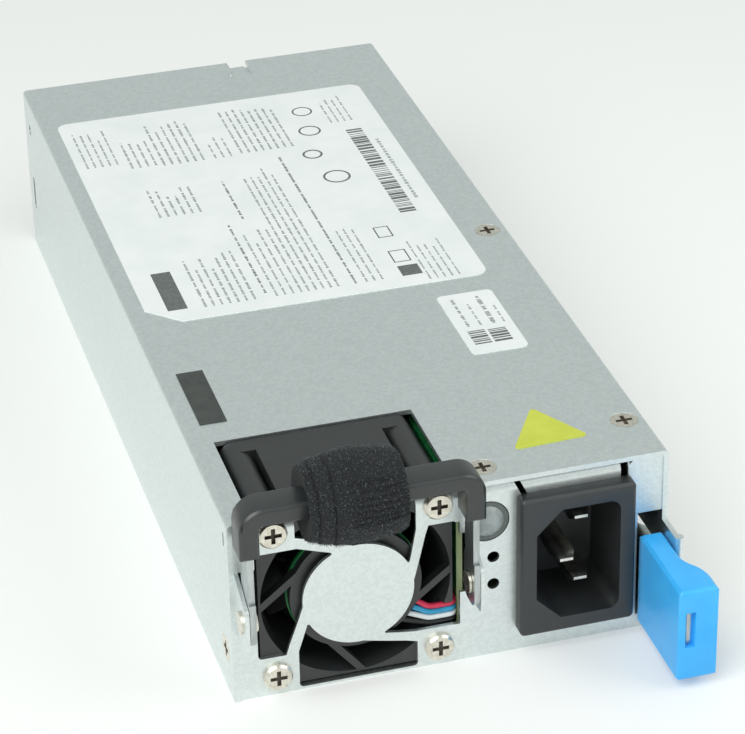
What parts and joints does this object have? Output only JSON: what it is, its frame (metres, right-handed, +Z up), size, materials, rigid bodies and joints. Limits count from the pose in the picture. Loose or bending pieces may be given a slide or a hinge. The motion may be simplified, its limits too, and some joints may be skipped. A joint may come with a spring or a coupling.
{
  "type": "hot swap server power supply",
  "caption": "Slim sheet-metal server power supply with front fan, appliance inlet, folding carry handle with fabric strap, blue sprung release latch and rear edge connector.",
  "frame": {"origin": "middle of the underside of the case, where it rests on the bay's floor", "axes": "+Y from the front with fan and inlet to the rear edge connector, +X to the right seen from the front, +Z up"},
  "size_m": [0.0883, 0.2302, 0.0537],
  "materials": {
    "galvanised_steel": "galvanised sheet, faint spangle",
    "screw_steel": "zinc plated",
    "spring_steel": "rolled strip",
    "black_plastic": "moulded, fine texture",
    "blue_plastic": "moulded",
    "lens_plastic": "translucent diffuser",
    "pin_metal": "nickel plated",
    "gold_contact": "gold plated",
    "shaft_steel": "ground",
    "strap_fabric": "hook-and-loop tape",
    "board_green": "solder mask",
    "wire_red": "insulation",
    "wire_blue": "insulation",
    "wire_white": "insulation",
    "wire_black": "insulation",
    "cream_plastic": "moulded",
    "insulating_film": "film",
    "standoff_brass": "turned",
    "winding_copper": "enamelled copper wire",
    "core_grey": "ferrite and coated powder core",
    "tape_yellow": "tape and moulded box",
    "fuse_glass": "ceramic tube",
    "heatsink_aluminium": "extruded",
    "capacitor_can": "sleeved can",
    "bar_copper": "tinned copper",
    "label_white": "printed film",
    "label_black": "film",
    "label_yellow": "film"
  },
  "bodies": {
    "case": {"top_cover": "galvanised_steel", "base_tray": "galvanised_steel", "front_plate": "galvanised_steel", "rear_panel": "galvanised_steel", "cover_screws": "screw_steel", "fan_screws": "screw_steel", "fan_frame": "black_plastic", "fan_wire_red": "wire_red", "fan_wire_blue": "wire_blue", "fan_wire_white": "wire_white", "fan_wire_black": "wire_black", "inlet_housing": "black_plastic", "inlet_pins": "pin_metal", "status_light_lens": "lens_plastic", "handle_rivets": "screw_steel", "rating_label": "label_white", "part_label": "label_white", "black_label": "label_black", "yellow_sticker": "label_yellow", "edge_contacts": "gold_contact", "insulator_sheet": "insulating_film", "board_standoffs": "standoff_brass", "board_screws": "screw_steel", "main_board": "board_green", "line_fuse": "fuse_glass", "x_capacitor": "tape_yellow", "filter_choke": "core_grey", "choke_winding": "winding_copper", "rectifier": "black_plastic", "rectifier_heatsink": "heatsink_aluminium", "bulk_capacitor": "capacitor_can", "boost_core": "core_grey", "boost_winding": "winding_copper", "switch_heatsink": "heatsink_aluminium", "power_transistors": "black_plastic", "transformer_core": "core_grey", "transformer_bobbin": "tape_yellow", "output_capacitors": "capacitor_can", "output_busbar": "bar_copper", "control_board": "board_green", "inlet_leads": "wire_black", "led_board": "board_green", "fan_plug": "cream_plastic", "motor_board": "board_green"},
    "rotor": {"fan_rotor": "black_plastic", "fan_shaft": "shaft_steel"},
    "handle": {"handle_bail": "spring_steel", "handle_grip": "black_plastic", "strap": "strap_fabric"},
    "latch": {"latch_leaf": "spring_steel", "latch_cap": "blue_plastic"}
  },
  "joints": [
    {"name": "fan_spin", "type": "hinge", "parent": "case", "child": "rotor", "pos_m": [-0.0186, -0.0845, 0.0202], "axis": [0, 1, 0], "continuous": true},
    {"name": "handle_fold", "type": "hinge", "parent": "case", "child": "handle", "pos_m": [-0.0191, -0.1041, 0.0213], "axis": [1, 0, 0], "range_deg": [0, 90]},
    {"name": "latch_press", "type": "hinge", "parent": "case", "child": "latch", "pos_m": [0.0422, -0.0495, 0.01355], "axis": [0, 0, -1], "range_deg": [0, 1.25], "stiffness_Nm_per_rad": 8.6, "springref_deg": -0.23}
  ]
}
